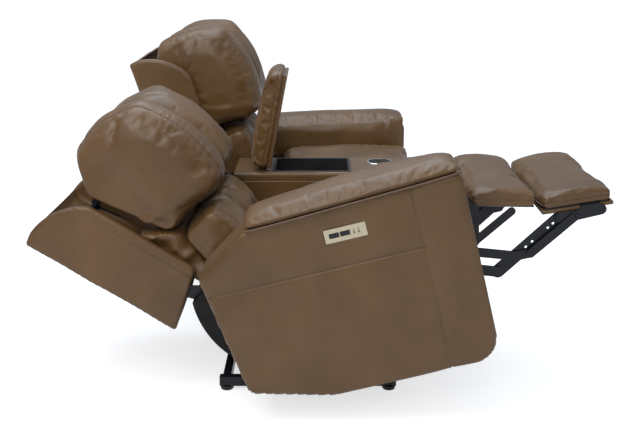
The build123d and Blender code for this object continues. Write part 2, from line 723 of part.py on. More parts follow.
def base_frame():
    """Welded floor frame: four rails, two ties across both seats, and the lift links' lugs."""
    rail_x = lane(5) - RAIL_WIDTH
    with BuildPart() as piece:
        with Locations((rail_x, RAIL_FRONT, FOOT_HEIGHT)):
            Box(RAIL_WIDTH, RAIL_REAR - RAIL_FRONT, RAIL_HEIGHT, align=Align.MIN)
        for foot, height in ((REAR_LIFT_FOOT, LINK_WIDTH + 8), (FRONT_LIFT_FOOT, LINK_WIDTH)):
            lug = bars(Plane.YZ.offset(lane(5)), (height, (foot[0], FOOT_HEIGHT + RAIL_HEIGHT / 2), foot))
            extrude(lug, amount=PLATE)
            pivot_pin(5, 4, foot)
        mirror(about=MIRROR)
        for y in (RAIL_FRONT + TIE_INSET, RAIL_REAR - TIE_INSET):
            with Locations((0, y, FOOT_HEIGHT)):
                Box(rail_x, RAIL_WIDTH, RAIL_HEIGHT, align=(Align.MIN, Align.CENTER, Align.MIN))
        mirror(about=Plane.YZ)
    return piece.part


def base_feet():
    """Eight floor glides under the ends of the rails."""
    outer = lane(5) - RAIL_WIDTH / 2
    with BuildPart() as piece:
        for x in (outer, 2 * SEAT_MID - outer):
            for y in (RAIL_FRONT + TIE_INSET, RAIL_REAR - TIE_INSET):
                with Locations((x, y, 0), (-x, y, 0)):
                    Cylinder(FOOT_RADIUS, FOOT_HEIGHT, align=(Align.CENTER, Align.CENTER, Align.MIN))
        chamfer(piece.edges().filter_by(GeomType.CIRCLE).group_by(Axis.Z)[0], 2)
    return piece.part


def recline_drives():
    """A drive rail and its gear motor under each seat, standing on the ties."""
    axis_z = RAIL_TOP + DRIVE_HEIGHT + MOTOR_RADIUS - 4
    with BuildPart() as piece:
        with Locations((SEAT_MID, RAIL_FRONT + TIE_INSET - RAIL_WIDTH / 2, RAIL_TOP)):
            Box(DRIVE_WIDTH, RAIL_REAR - RAIL_FRONT - 2 * TIE_INSET + RAIL_WIDTH, DRIVE_HEIGHT,
                align=(Align.CENTER, Align.MIN, Align.MIN))
        with BuildSketch(Plane.XZ.offset(-MOTOR_REAR)):
            with Locations((SEAT_MID, axis_z)):
                Circle(MOTOR_RADIUS)
        extrude(amount=MOTOR_LENGTH)
        with BuildSketch(Plane.XZ.offset(-MOTOR_REAR)):
            with Locations((SEAT_MID, axis_z - 4)):
                RectangleRounded(DRIVE_WIDTH * 2, 2 * MOTOR_RADIUS + 6, 6)
        extrude(amount=-34)
        mirror(about=Plane.YZ)
    return piece.part


def console_carcass():
    """Upholstered console box with a bin opening, two cup holes and the lid's hinge lugs."""
    half = CONSOLE_WIDTH / 2
    with BuildPart() as piece:
        with Locations((0, CONSOLE_FRONT, RAIL_TOP)):
            Box(CONSOLE_WIDTH, CONSOLE_REAR - CONSOLE_FRONT, CONSOLE_TOP - RAIL_TOP,
                align=(Align.CENTER, Align.MIN, Align.MIN))
        fillet(piece.faces().sort_by(Axis.Y)[0].edges().sort_by(Axis.Z)[-1], 26)
        fillet(piece.edges().filter_by(Axis.Z), 8)
        with Locations((0, CONSOLE_FRONT + CONSOLE_WALL, RAIL_TOP + CONSOLE_WALL)):
            Box(CONSOLE_WIDTH - 2 * CONSOLE_WALL, CONSOLE_REAR - CONSOLE_FRONT - 2 * CONSOLE_WALL,
                CONSOLE_TOP - RAIL_TOP - 2 * CONSOLE_WALL - 8, align=(Align.CENTER, Align.MIN, Align.MIN),
                mode=Mode.SUBTRACT)
        with BuildSketch(Plane.XY.offset(CONSOLE_TOP)):
            with Locations((0, (BIN_FRONT + BIN_REAR) / 2)):
                Rectangle(2 * (half - BIN_RIM), BIN_REAR - BIN_FRONT)
            with Locations((0, CUP_Y)):
                with GridLocations(CUP_PITCH, 1, 2, 1):
                    Circle(CUP_RADIUS)
        extrude(amount=-CONSOLE_WALL - 8, mode=Mode.SUBTRACT)
        for x in (LUG_SPACING / 2, -LUG_SPACING / 2 - PLATE):
            extrude(bars(Plane.YZ.offset(x), (12, LID_HINGE, (LID_HINGE_Y, CONSOLE_TOP - 4))), amount=PLATE)
            rod(x, x + PLATE, LID_HINGE, HINGE_RADIUS + PIN_CLEARANCE, Mode.SUBTRACT)
    return piece.part


def console_bin():
    """Storage tray that drops into the console and hangs on its rim."""
    half = CONSOLE_WIDTH / 2 - BIN_RIM - SOFT_CLEARANCE
    front, rear = BIN_FRONT + SOFT_CLEARANCE, BIN_REAR - SOFT_CLEARANCE
    with BuildPart() as piece:
        with Locations((0, front, CONSOLE_TOP)):
            Box(2 * half, rear - front, BIN_DEPTH, align=(Align.CENTER, Align.MIN, Align.MAX))
        with Locations((0, (front + rear) / 2, CONSOLE_TOP)):
            Box(2 * half + 12, rear - front + 12, LID_GAP - SOFT_CLEARANCE,
                align=(Align.CENTER, Align.CENTER, Align.MIN))
            Box(2 * (half - BIN_WALL), rear - front - 2 * BIN_WALL, 2 * (BIN_DEPTH - BIN_WALL),
                mode=Mode.SUBTRACT)
    return piece.part


def cup_holders():
    """Two metal cups with a rolled lip, let into the console top."""
    with BuildPart() as piece:
        with BuildSketch(Plane.XZ.offset(-CUP_Y)):
            with BuildLine():
                radius, top = CUP_RADIUS - SOFT_CLEARANCE, CONSOLE_TOP
                low = top - CUP_DEPTH
                Polyline((0, low), (radius - 6, low), (radius, low + 6), (radius, top),
                         (radius + CUP_LIP, top), (radius + CUP_LIP - 2, top + 2), (radius - CUP_WALL, top + 2),
                         (radius - CUP_WALL, low + 7), (radius - 8, low + CUP_WALL), (0, low + CUP_WALL),
                         close=True)
            make_face()
        revolve(axis=Axis((0, CUP_Y, 0), (0, 0, 1)))
        cup = piece.part
    with BuildPart() as pair:
        with Locations((CUP_PITCH / 2, 0, 0), (-CUP_PITCH / 2, 0, 0)):
            add(cup)
    return pair.part


def console_lid_board():
    """Lid board with the hinge rod along its rear edge."""
    bottom = CONSOLE_TOP + LID_GAP
    with BuildPart() as piece:
        with Locations((0, LID_FRONT + 8, bottom)):
            Box(CONSOLE_WIDTH - 20, LID_HINGE_Y - LID_FRONT - 18, LID_BOARD,
                align=(Align.CENTER, Align.MIN, Align.MIN))
        rod(-LUG_SPACING / 2 - 8, LUG_SPACING / 2 + 8, LID_HINGE, HINGE_RADIUS)
        knuckle = (8, LID_HINGE, (LID_HINGE_Y - 14, LID_HINGE[1]))
        extrude(bars(Plane.YZ.offset(-LUG_SPACING / 2 + 6), knuckle), amount=LUG_SPACING - 12)
    return piece.part


def console_lid_pad():
    """Upholstered lid top."""
    bottom = CONSOLE_TOP + LID_GAP + LID_BOARD
    corners = ((LID_FRONT, bottom), (LID_HINGE_Y - 2, bottom), (LID_HINGE_Y - 6, bottom + LID_PAD - 6),
               (LID_FRONT + 6, bottom + LID_PAD - 10))
    half = CONSOLE_WIDTH / 2 - 3
    with BuildPart() as piece:
        padded_block(across(-half, half), corners, FIRM_ENDS, (0, -3, -9, -3), 16)
    return piece.part


SEAT_PIECES = {
    "rear_lift_links": (rear_lift_links, "rear_lift"),
    "front_lift_links": (front_lift_links, "front_lift"),
    "side_plates": (side_plates, "seat"),
    "seat_frame": (seat_frame, "seat"),
    "seat_webbing": (seat_webbing, "seat"),
    "seat_cushion": (seat_cushion, "seat"),
    "arm_panel": (arm_panel, "seat"),
    "arm_pad": (arm_pad, "seat"),
    "control_plate": (control_plate, "seat"),
    "recline_rocker": (recline_rocker, "recline_rocker"),
    "headrest_rocker": (headrest_rocker, "headrest_rocker"),
    "rear_apron": (rear_apron, "seat"),
    "drive_carriage": (drive_carriage, "carriage"),
    "back_frame": (back_frame, "back"),
    "back_shell": (back_shell, "back"),
    "inner_back_frame": (inner_back_frame, "inner_back"),
    "lumbar_cushion": (lumbar_cushion, "inner_back"),
    "headrest_pillow": (headrest_pillow, "inner_back"),
    "mid_panel": (mid_panel, "mid_panel"),
    "mid_pad": (mid_pad, "mid_panel"),
    "footrest_panel": (footrest_panel, "footrest"),
    "footrest_pad": (footrest_pad, "footrest"),
    "lower_links": (lower_links, "lower_link"),
    "main_links": (main_links, "main_link"),
    "control_links": (control_links, "control_link"),
    "board_links": (board_links, "board_link"),
}


CONSOLE_PIECES = {
    "base_frame": base_frame,
    "base_feet": base_feet,
    "recline_drives": recline_drives,
    "console_carcass": console_carcass,
    "console_bin": console_bin,
    "cup_holders": cup_holders,
    "console_lid_board": console_lid_board,
    "console_lid_pad": console_lid_pad,
}


def turned(part, pivot, angle):
    """A piece turned about an axis along X."""
    return part.rotate(Axis((0, *pivot), (1, 0, 0)), angle)


def reclined(part, body):
    """A piece of the upright seat, carried to full recline through every pivot that holds it."""
    if body == "carriage":
        return part.translate((0, DRIVE_TRAVEL, 0))
    while body != "base":
        body, pivot, swing = BODIES[body]
        part = turned(part, pivot, swing)
    return part


def posed_pieces():
    """Every piece at rest: left seat upright, right seat reclined, console lid open."""
    pieces = {}
    for name, (make, body) in SEAT_PIECES.items():
        upright = make()
        pieces[f"left_{name}"] = upright
        pieces[f"right_{name}"] = reclined(upright.mirror(Plane.YZ), body)
    for name, make in CONSOLE_PIECES.items():
        piece = make()
        pieces[name] = turned(piece, LID_HINGE, -LID_OPEN) if name.startswith("console_lid") else piece
    return pieces


PIECES = posed_pieces()
span = Compound(children=list(PIECES.values())).bounding_box()
TO_ORIGIN = (0, -(span.min.Y + span.max.Y) / 2, 0)
for node, solid in PIECES.items():
    placed = Part(solid.translate(TO_ORIGIN).wrapped)
    placed.label = node
    export_step(placed, f"parts/{node}.step")
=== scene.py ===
"""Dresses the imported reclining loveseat: leather covers, seams, straps, apron, metal and plastic finishes.

Soft pieces are shaped once on the upright left seat. Each is then copied, mirrored and carried to full
recline for the right seat, through the same pivots as the CAD bodies.
"""
import json
from math import exp, radians

import bpy
from mathutils import Matrix, Vector, noise

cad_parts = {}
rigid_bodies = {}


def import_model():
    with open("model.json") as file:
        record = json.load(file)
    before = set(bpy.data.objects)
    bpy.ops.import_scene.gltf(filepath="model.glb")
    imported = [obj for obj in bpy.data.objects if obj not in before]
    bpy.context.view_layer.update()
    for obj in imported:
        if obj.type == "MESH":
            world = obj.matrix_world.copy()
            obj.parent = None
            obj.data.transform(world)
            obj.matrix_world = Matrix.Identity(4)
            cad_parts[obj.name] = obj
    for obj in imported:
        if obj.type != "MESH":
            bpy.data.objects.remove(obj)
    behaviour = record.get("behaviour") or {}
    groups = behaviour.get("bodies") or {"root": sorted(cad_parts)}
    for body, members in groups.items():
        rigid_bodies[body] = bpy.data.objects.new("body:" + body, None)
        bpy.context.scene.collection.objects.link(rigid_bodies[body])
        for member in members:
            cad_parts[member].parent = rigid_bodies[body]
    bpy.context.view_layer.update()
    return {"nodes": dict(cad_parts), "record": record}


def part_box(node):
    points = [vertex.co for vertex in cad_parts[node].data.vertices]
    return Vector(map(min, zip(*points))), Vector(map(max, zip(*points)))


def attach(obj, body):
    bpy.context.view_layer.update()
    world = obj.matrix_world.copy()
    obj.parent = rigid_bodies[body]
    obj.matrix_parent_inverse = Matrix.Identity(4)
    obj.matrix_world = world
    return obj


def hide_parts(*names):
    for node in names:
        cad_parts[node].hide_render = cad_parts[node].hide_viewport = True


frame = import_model()
BEHAVIOUR = frame["record"]["behaviour"]
HOLDER = {joint["child"]: joint for joint in BEHAVIOUR["joints"]}
RATIO = {coupling["joint"]: coupling["ratio"] for coupling in BEHAVIOUR["couplings"]}
LIFT_SWING = max(HOLDER["left_rear_lift"]["range_deg"], key=abs)

SHIFT_Y = HOLDER["left_back"]["pos_m"][1] - 0.228
SEAT_MID = 0.420
BACK_PIVOT = Vector(HOLDER["left_back"]["pos_m"])
BACK_UP = Vector((0, 0.3007, 0.9537))
BACK_FRONT = Vector((0, -0.9537, 0.3007))
ARM_FRONT_Y = -0.369 + SHIFT_Y
ARM_REAR_Y = 0.245 + SHIFT_Y
ARM_TOP_Z = (0.5945, 0.5735)
ARM_SEAM_Y = -0.228 + SHIFT_Y
ARM_SEAM_Z = 0.412
WELT_POINTS = ((0.0, 0.07), (0.0, 0.02), (0.012, 0.011), (0.05, 0.005), (0.14, 0.0005), (0.5, 0.0),
               (0.86, 0.0005), (0.95, 0.005), (0.99, 0.011))
WELT_RADIUS = 0.0032
APRON_ARC = ((0.385, 0.142), (0.447, 0.232), (0.470, 0.352))
APRON_GAUGE = 0.0022
PAD_SPREAD = (1.036, 1.03)
PAD_HEM = 0.004
PAD_SEAM = 0.014
PANEL_WRAP = 0.0065
BOARD_GAUGE = 0.012
BOARD_SETBACK = 0.011
BOARD_SPREAD = (0.017, 0.002)
FLAP_PATH = ((0.118, 0.462), (0.15, 0.449), (0.2, 0.436), (0.29, 0.424), (0.335, 0.412))
FLAP_WIDTH = 0.452
LEATHER_GAUGE = 0.0018
STRAPS = 5
STRAP_WIDTH = 0.055
STRAP_SAG = 0.006
CONSOLE_TOP = 0.568
LUG_X = 0.077
LID_OPEN = -79
LID_SEAM = 0.022
CUP_X = 0.053
CUP_Y = -0.226 + SHIFT_Y
CUP_INNER = 0.0398
CUP_SLEEVE = 0.05
CUP_GAUGE = 0.0008
CUP_LINES = 72
CUP_RIB = 0.93

# Cushions of a seat: seams by their distance from its middle, and how near them the cover is held
PILLOW_SEAM = 0.205
CUSHION_SEAM = 0.215
SEAM_HOLD = 0.007
CHANNEL_HOLD = 0.006
SHELL_SEAM = -0.083

# Back gusset: each corner up the back and to its front, by (at its front, at its top)
GUSSET_HALF = 0.245
GUSSET_CORNERS = {
    (False, False): (0.2, -0.128), (True, False): (0.198, -0.06),
    (True, True): (0.372, -0.06), (False, True): (0.44, -0.168),
}

# Cloth
CLOTH_PRESSURE = 4.0
CLOTH_SLACK = 0.02
CLOTH_STIFFNESS = 0.8
CLOTH_FRAMES = 20
SHARP_ANGLE = 40

# Camera fitted to the photograph
CAMERA_PLACE = (-3.485, -0.010 + SHIFT_Y, 1.330)
CAMERA_PITCH = 15.4
CAMERA_LENS = 56.0

# Studio
FLOOR_SIZE = 70
FLOOR_LIFT = 0.68
SKY_LOW = (0.22, 0.22, 0.23)
SKY_HIGH = (0.72, 0.8, 0.93)
SOFTBOXES = (
    ((0.6, 0.4, 3.3), 2.6, 66, (0.76, 0.88, 1.0)),
    ((-6.0, 0.8, 3.9), 3.0, 105, (1.0, 0.98, 0.95)),
    ((-1.6, 1.0, 2.3), 1.2, 20, (1.0, 0.98, 0.95)),
)


def smooth(value, low, high):
    """0 below low, 1 above high, and an even rise between."""
    share = min(1, max(0, (value - low) / (high - low)))
    return share * share * (3 - 2 * share)


def start(piece):
    """Makes one object the only selected and the active one."""
    bpy.ops.object.select_all(action="DESELECT")
    piece.select_set(True)
    bpy.context.view_layer.objects.active = piece


def apply_all(piece):
    """Applies a piece's modifiers in their order."""
    start(piece)
    for modifier in list(piece.modifiers):
        bpy.ops.object.modifier_apply(modifier=modifier.name)


def reclined(body):
    """Where a body of the upright seat goes at full recline."""
    matrix = Matrix()
    while body != "base":
        joint = HOLDER[body]
        swing = max(joint["range_deg"], key=abs)
        if joint["name"] in RATIO:
            swing = LIFT_SWING * RATIO[joint["name"]]
        pivot = Vector(joint["pos_m"])
        there, home = Matrix.Translation(pivot), Matrix.Translation(-pivot)
        matrix = there @ Matrix.Rotation(radians(swing), 4, "X") @ home @ matrix
        body = joint["parent"]
    return matrix


# Materials


def material(name, roughness, metallic=0.0):
    """A new material with its shader and its node tree."""
    made = bpy.data.materials.new(name)
    made.use_nodes = True
    shader = made.node_tree.nodes["Principled BSDF"]
    shader.inputs["Roughness"].default_value = roughness
    shader.inputs["Metallic"].default_value = metallic
    return made, shader


def node(made, kind, **settings):
    """Adds a shader node; settings named in_X go to its sockets."""
    added = made.node_tree.nodes.new(kind)
    for key, value in settings.items():
        if key.startswith("in_"):
            added.inputs[key[3:].replace("_", " ").title()].default_value = value
        else:
            setattr(added, key, value)
    return added


def link(made, output, socket):
    made.node_tree.links.new(output, socket)


def ramp(made, factor, low, high, colours):
    """Colours spread over part of a texture's range."""
    spread = node(made, "ShaderNodeValToRGB")
    spread.color_ramp.elements[0].position = low
    spread.color_ramp.elements[1].position = high
    for element, colour in zip(spread.color_ramp.elements, colours):
        element.color = (*colour, 1)
    link(made, factor, spread.inputs["Fac"])
    return spread.outputs["Color"]


def bump(made, shader, layers):
    """Chained bumps: (height socket, strength, distance) each."""
    normal = None
    for height, strength, distance in layers:
        made_bump = node(made, "ShaderNodeBump")
        made_bump.inputs["Strength"].default_value = strength
        made_bump.inputs["Distance"].default_value = distance
        link(made, height, made_bump.inputs["Height"])
        if normal:
            link(made, normal, made_bump.inputs["Normal"])
        normal = made_bump.outputs["Normal"]
    link(made, normal, shader.inputs["Normal"])


def leather_material(name, dark, light):
    """Pull-up leather: cloudy brown, pebbled grain, soft creases."""
    made, shader = material(name, 0.42)
    place = node(made, "ShaderNodeTexCoord").outputs["Object"]
    clouds = node(made, "ShaderNodeTexNoise", in_scale=5.5, in_detail=6.0, in_roughness=0.6)
    grain = node(made, "ShaderNodeTexVoronoi", in_scale=330.0)
    pores = node(made, "ShaderNodeTexNoise", in_scale=620.0, in_detail=3.0)
    creases = node(made, "ShaderNodeTexNoise", in_scale=16.0, in_detail=8.0, in_roughness=0.62,
                   in_distortion=0.6)
    for texture in (clouds, grain, pores, creases):
        link(made, place, texture.inputs["Vector"])
    link(made, ramp(made, clouds.outputs["Fac"], 0.32, 0.7, (dark, light)), shader.inputs["Base Color"])
    link(made, ramp(made, creases.outputs["Fac"], 0.3, 0.75, ((0.36, 0.36, 0.36), (0.5, 0.5, 0.5))),
         shader.inputs["Roughness"])
    bump(made, shader, ((creases.outputs["Fac"], 0.22, 0.004), (grain.outputs["Distance"], 0.22, 0.0006),
                        (pores.outputs["Fac"], 0.12, 0.0003)))
    shader.inputs["Specular IOR Level"].default_value = 0.4
    shader.inputs["Coat Weight"].default_value = 0.12
    shader.inputs["Coat Roughness"].default_value = 0.34
    shader.inputs["Sheen Weight"].default_value = 0.05
    shader.inputs["Sheen Roughness"].default_value = 0.4
    shader.inputs["Sheen Tint"].default_value = (0.72, 0.8, 0.95, 1)
    return made


def paint_material(name, colour, roughness):
    """Paint or plastic with a faint orange peel and uneven gloss."""
    made, shader = material(name, roughness)
    place = node(made, "ShaderNodeTexCoord").outputs["Object"]
    peel = node(made, "ShaderNodeTexNoise", in_scale=240.0, in_detail=3.0)
    wear = node(made, "ShaderNodeTexNoise", in_scale=14.0, in_detail=5.0)
    for texture in (peel, wear):
        link(made, place, texture.inputs["Vector"])
    lighter = tuple(min(1, channel * 1.7 + 0.004) for channel in colour)
    link(made, ramp(made, wear.outputs["Fac"], 0.35, 0.75, (colour, lighter)), shader.inputs["Base Color"])
    link(made, ramp(made, wear.outputs["Fac"], 0.3, 0.7, ((roughness * 0.85,) * 3, (roughness * 1.15,) * 3)),
         shader.inputs["Roughness"])
    bump(made, shader, ((peel.outputs["Fac"], 0.15, 0.0006),))
    shader.inputs["Specular IOR Level"].default_value = 0.28
    return made


def brushed_material(name, colour, roughness, stretch):
    """Brushed metal: fine scratches along one direction."""
    made, shader = material(name, roughness, metallic=1.0)
    place = node(made, "ShaderNodeTexCoord").outputs["Object"]
    squeeze = node(made, "ShaderNodeMapping")
    squeeze.inputs["Scale"].default_value = stretch
    scratches = node(made, "ShaderNodeTexNoise", in_scale=40.0, in_detail=6.0)
    link(made, place, squeeze.inputs["Vector"])
    link(made, squeeze.outputs["Vector"], scratches.inputs["Vector"])
    darker = tuple(channel * 0.8 for channel in colour)
    link(made, ramp(made, scratches.outputs["Fac"], 0.3, 0.7, (darker, colour)), shader.inputs["Base Color"])
    gloss = ((roughness * 0.8,) * 3, (roughness * 1.3,) * 3)
    link(made, ramp(made, scratches.outputs["Fac"], 0.3, 0.7, gloss), shader.inputs["Roughness"])
    bump(made, shader, ((scratches.outputs["Fac"], 0.1, 0.0003),))
    return made


def cloth_material(name, dark, light, pitch):
    """Plain woven cloth."""
    made, shader = material(name, 0.9)
    place = node(made, "ShaderNodeTexCoord").outputs["Object"]
    across_weave = node(made, "ShaderNodeTexWave", in_scale=pitch, bands_direction="X")
    along_weave = node(made, "ShaderNodeTexWave", in_scale=pitch, bands_direction="Z")
    over = node(made, "ShaderNodeMath", operation="MULTIPLY")
    for texture, socket in ((across_weave, 0), (along_weave, 1)):
        link(made, place, texture.inputs["Vector"])
        link(made, texture.outputs["Fac"], over.inputs[socket])
    link(made, ramp(made, over.outputs["Value"], 0.1, 0.8, (dark, light)), shader.inputs["Base Color"])
    bump(made, shader, ((over.outputs["Value"], 0.4, 0.0008),))
    shader.inputs["Specular IOR Level"].default_value = 0.1
    return made


def wood_material(name, dark, light):
    """Stained wood with its grain along the seat's depth."""
    made, shader = material(name, 0.6)
    place = node(made, "ShaderNodeTexCoord").outputs["Object"]
    squeeze = node(made, "ShaderNodeMapping")
    squeeze.inputs["Scale"].default_value = (14, 1.2, 9)
    rings = node(made, "ShaderNodeTexNoise", in_scale=5.0, in_detail=9.0, in_distortion=0.5)
    link(made, place, squeeze.inputs["Vector"])
    link(made, squeeze.outputs["Vector"], rings.inputs["Vector"])
    link(made, ramp(made, rings.outputs["Fac"], 0.3, 0.7, (dark, light)), shader.inputs["Base Color"])
    bump(made, shader, ((rings.outputs["Fac"], 0.15, 0.0008),))
    shader.inputs["Specular IOR Level"].default_value = 0.2
    return made


LEATHER = leather_material("brown_leather", (0.09, 0.0425, 0.0105), (0.132, 0.0665, 0.019))
PIPING = leather_material("welt_leather", (0.075, 0.036, 0.01), (0.11, 0.056, 0.017))
BLACK_STEEL = paint_material("black_enamel", (0.0035, 0.004, 0.006), 0.36)
BRIGHT_STEEL = brushed_material("bright_steel", (0.7, 0.69, 0.66), 0.26, (1, 1, 14))
PLATE_METAL = brushed_material("pale_plate", (0.5, 0.44, 0.32), 0.4, (1, 1, 30))
BLACK_PLASTIC = paint_material("black_plastic", (0.012, 0.012, 0.013), 0.5)
BLACK_CLOTH = cloth_material("black_cloth", (0.0025, 0.0025, 0.003), (0.011, 0.011, 0.012), 420.0)
WEBBING = cloth_material("webbing", (0.015, 0.014, 0.013), (0.08, 0.075, 0.07), 160.0)
WOOD = wood_material("black_stained_wood", (0.004, 0.004, 0.004), (0.014, 0.012, 0.011))

SLOT_MATERIALS = {
    "leather": LEATHER, "frame_wood": WOOD, "black_steel": BLACK_STEEL, "webbing": WEBBING,
    "black_cloth": BLACK_CLOTH, "plate_metal": PLATE_METAL, "black_plastic": BLACK_PLASTIC,
    "cup_steel": BRIGHT_STEEL,
}


def paint(piece, finish):
    piece.data.materials.clear()
    piece.data.materials.append(finish)


for subpart in frame["record"]["subparts"]:
    paint(frame["nodes"][subpart["node"]], SLOT_MATERIALS[subpart["material_slot"]])
for side in ("left", "right"):
    paint(frame["nodes"][f"{side}_inner_back_frame"], PIPING)
paint(frame["nodes"]["console_lid_board"], LEATHER)


# Covers


def even_out(piece, rounds):
    """Smooths a mesh all over."""
    smoothing = piece.modifiers.new("even", "SMOOTH")
    smoothing.iterations = rounds
    apply_all(piece)


def remesh(piece, voxel, rounds):
    """Makes the active piece one even closed mesh."""
    piece.data.remesh_voxel_size = voxel
    bpy.ops.object.voxel_remesh()
    even_out(piece, rounds)


def thicken(piece, gauge, offset=-1):
    """Gives a sheet its thickness: on its back for an offset of -1, or half on each face for 0."""
    wall = piece.modifiers.new("gauge", "SOLIDIFY")
    wall.thickness = gauge
    wall.offset = offset
    apply_all(piece)


def cover_of(node_name, voxel, cut_above=None):
    """A new closed mesh in the shape of a CAD node, evenly meshed, without what stands above a height."""
    piece = bpy.data.objects.new(f"{node_name}_cover", frame["nodes"][node_name].data.copy())
    bpy.context.collection.objects.link(piece)
    start(piece)
    bpy.ops.object.mode_set(mode="EDIT")
    bpy.ops.mesh.select_all(action="SELECT")
    bpy.ops.mesh.remove_doubles(threshold=1e-5)
    if cut_above is not None:
        bpy.ops.mesh.bisect(plane_co=(0, 0, cut_above), plane_no=(0, 0, 1), clear_outer=True, use_fill=True)
    bpy.ops.object.mode_set(mode="OBJECT")
    remesh(piece, voxel, rounds=4)
    return piece


def displace(piece, shift):
    """Moves every vertex along its normal by what shift gives for it."""
    moves = [vertex.normal * shift(vertex.co, vertex.normal) for vertex in piece.data.vertices]
    for vertex, move in zip(piece.data.vertices, moves):
        vertex.co += move


def puff(piece, cap, sewn):
    """Blows the cover up with Cloth; sewn says which points stay, and cap how far others may go."""
    start(piece)
    rest = [vertex.co.copy() for vertex in piece.data.vertices]
    held = piece.vertex_groups.new(name="sewn")
    kept = [vertex.index for vertex in piece.data.vertices if sewn(vertex.co, vertex.normal)]
    held.add(kept, 1.0, "REPLACE")
    cloth = piece.modifiers.new("puff", "CLOTH")
    cloth.settings.use_pressure = True
    cloth.settings.uniform_pressure_force = CLOTH_PRESSURE
    cloth.settings.effector_weights.gravity = 0
    cloth.settings.vertex_group_mass = held.name
    cloth.settings.shrink_min = -CLOTH_SLACK
    cloth.settings.bending_stiffness = CLOTH_STIFFNESS
    cloth.point_cache.frame_end = CLOTH_FRAMES
    for number in range(1, CLOTH_FRAMES + 1):
        bpy.context.scene.frame_set(number)
    apply_all(piece)
    bpy.context.scene.frame_set(1)
    for vertex, place in zip(piece.data.vertices, rest):
        move = vertex.co - place
        if move.length > cap:
            vertex.co = place + move * (cap / move.length)
    piece.vertex_groups.clear()


def seam(piece, point, normal, where, depth, half):
    """A sewn line cut across the cover: two cuts beside it, and one that is drawn in."""
    start(piece)
    point, normal = Vector(point), Vector(normal).normalized()
    for offset in (-half, half, 0):
        for polygon in piece.data.polygons:
            polygon.select = where(polygon.center, polygon.normal)
        bpy.ops.object.mode_set(mode="EDIT")
        bpy.ops.mesh.bisect(plane_co=point + normal * offset, plane_no=normal)
        if offset == 0:
            bpy.ops.transform.shrink_fatten(value=-depth)
        bpy.ops.object.mode_set(mode="OBJECT")


def wrinkle(piece, stretch, amount, where, seed):
    """Leather creases: ridged noise, drawn out along the directions with a small stretch."""
    def shift(place, normal):
        share = where(place, normal)
        if share <= 0:
            return 0
        at = Vector((place.x * stretch[0] + seed, place.y * stretch[1], place.z * stretch[2]))
        ridge = 1 - 2 * abs(noise.noise(at))
        return amount * share * (ridge - 0.5 + 0.35 * noise.noise(at * 2.7))
    displace(piece, shift)


def finish_piece(piece, body, finish, node_name=None):
    """Smooth shading, a material, and a place on a CAD body, perhaps in the stead of its node."""
    start(piece)
    bpy.ops.object.shade_smooth_by_angle(angle=radians(SHARP_ANGLE))
    paint(piece, finish)
    if node_name:
        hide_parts(node_name)
    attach(piece, body)


def other_seat(piece, name, body):
    """The right seat's copy of a piece: mirrored, and carried to full recline."""
    other = bpy.data.objects.new(f"right_{name}", piece.data.copy())
    bpy.context.collection.objects.link(other)
    other.data.transform(reclined(f"left_{body}") @ Matrix.Scale(-1, 4, (1, 0, 0)))
    other.data.flip_normals()
    return other


def both_seats(piece, name, body, finish=LEATHER, node_name=None):
    """Finishes a piece of the left seat and its copy on the right seat, and gives the two."""
    pair = (piece, other_seat(piece, name, body))
    for made, side in zip(pair, ("left", "right")):
        finish_piece(made, f"{side}_{body}", finish, node_name and f"{side}_{node_name}")
    return pair


def padded_seats(piece, name, body):
    """Finishes a cover of the left seat and its copy, in the stead of their CAD nodes."""
    for cover in both_seats(piece, f"{name}_cover", body, node_name=name):
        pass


def anywhere(place, normal):
    return True


def along_back(place):
    """How far up the back a point is, and how far to its front."""
    offset = place - BACK_PIVOT
    return offset.dot(BACK_UP), offset.dot(BACK_FRONT)


def settle(piece, shift):
    """Moves a back cushion's points up the back and to its front by what shift gives for them."""
    for vertex in piece.data.vertices:
        up, front = shift(*along_back(vertex.co))
        vertex.co += BACK_UP * up + BACK_FRONT * front


def near_seam(place, ends):
    """True close to one of the two end seams of a cushion."""
    return min(abs(place.x - end) for end in ends) < SEAM_HOLD


def end_seams(piece, ends, depth):
    for end in ends:
        seam(piece, (end, 0, 0), (1, 0, 0), anywhere, depth, half=0.006)


def headrest_pillow():
    """Two-lobed pillow with wrinkled end gussets, its crown sunk and rolled forward."""
    piece = cover_of("left_headrest_pillow", voxel=0.008)
    ends = (SEAT_MID - PILLOW_SEAM, SEAT_MID + PILLOW_SEAM)

    def slump(up, front):
        crown = smooth(up, 0.54, 0.75)
        rear = smooth(-front, -0.06, 0.13)
        return (-0.036 * crown - 0.012 * smooth(front, -0.02, 0.08),
                (0.006 + 0.016 * crown) * rear + 0.026 * smooth(front, 0.0, 0.09))

    def channel(place, normal):
        up, front = along_back(place)
        groove = -0.034 * exp(-((place.x - SEAT_MID) / 0.03) ** 2)
        return groove * smooth(front + 0.45 * max(0, up - 0.68), -0.06, 0.03)

    def sewn(place, normal):
        return (near_seam(place, ends) or along_back(place)[1] < -0.09
                or abs(place.x - SEAT_MID) < CHANNEL_HOLD)

    def gusset(place):
        return smooth(abs(place.x - SEAT_MID), 0.2, 0.245)

    settle(piece, slump)
    displace(piece, channel)
    puff(piece, cap=0.016, sewn=sewn)
    wrinkle(piece, stretch=(3, 5, 15), amount=0.008, seed=4.0,
            where=lambda place, normal: gusset(place) * smooth(-place.z, -0.86, -0.68))
    wrinkle(piece, stretch=(9, 4, 5), amount=0.0035, seed=1.0,
            where=lambda place, normal: 1 - gusset(place))
    end_seams(piece, ends, depth=0.006)
    padded_seats(piece, "headrest_pillow", "inner_back")


